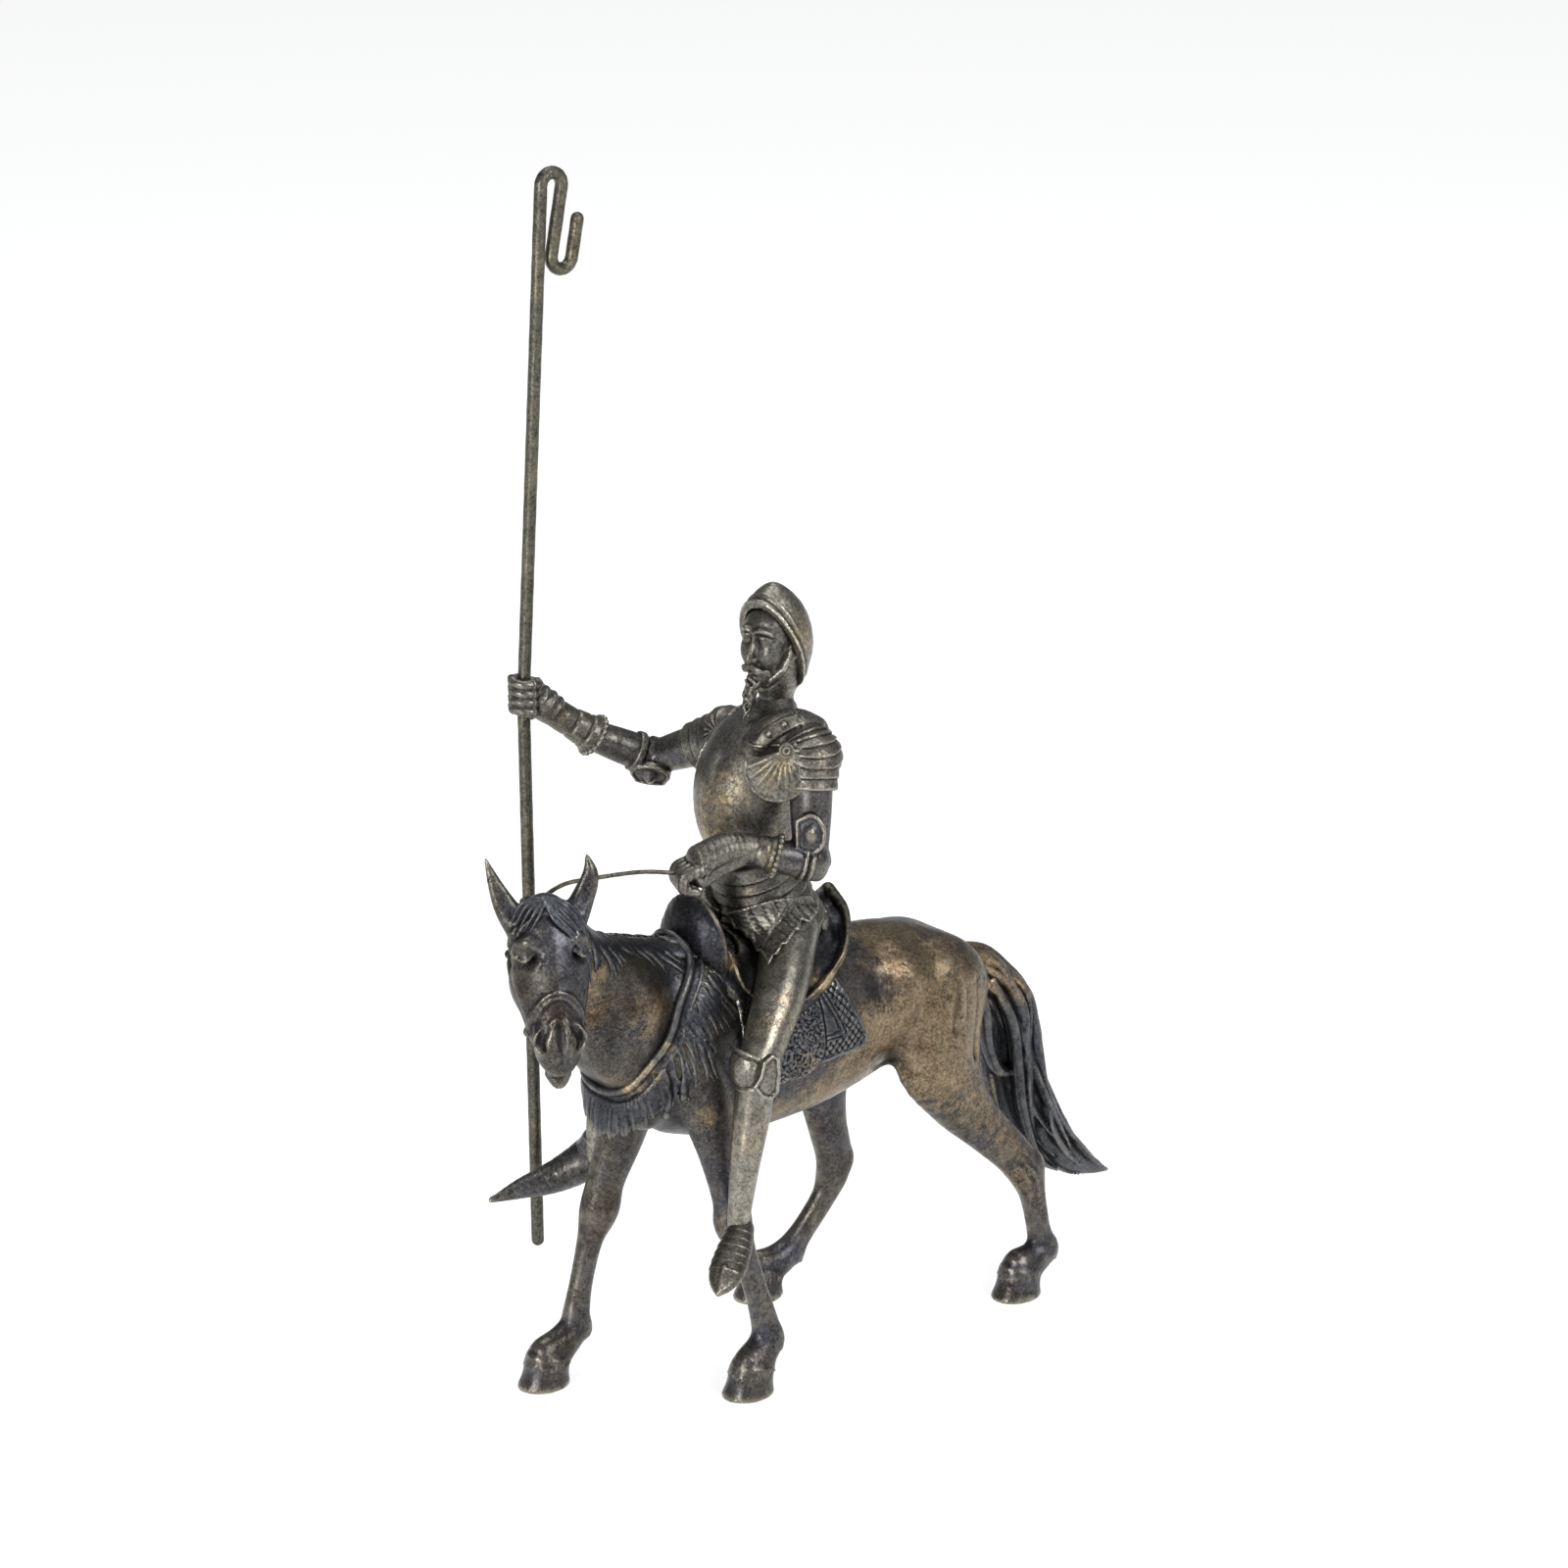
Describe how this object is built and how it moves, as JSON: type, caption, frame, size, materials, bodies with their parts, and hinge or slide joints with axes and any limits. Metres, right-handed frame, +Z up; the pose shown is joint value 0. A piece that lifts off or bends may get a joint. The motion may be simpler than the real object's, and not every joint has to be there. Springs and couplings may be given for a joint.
{
  "type": "equestrian statuette",
  "caption": "Cast metal statuette of an armoured rider on a walking horse, holding a tall rod with a bent hook; it stands on the horse's hooves.",
  "frame": {"origin": "middle of the bounding box's footprint, on the ground plane under the hooves", "axes": "+Z up along the rod, -X the way the horse walks, -Y the horse's left side"},
  "size_m": [0.195, 0.0882, 0.2791],
  "materials": {
    "horse": "rubbed dark patina over cast bronze",
    "saddle": "dark grained patina over cast bronze",
    "rider": "rubbed pewter-grey patina over cast bronze",
    "rod": "olive-grey patina",
    "rein": "dull grey wire"
  },
  "bodies": {
    "root": {"horse": "horse", "saddle": "saddle", "rider": "rider", "rod": "rod", "rein": "rein"}
  },
  "joints": []
}
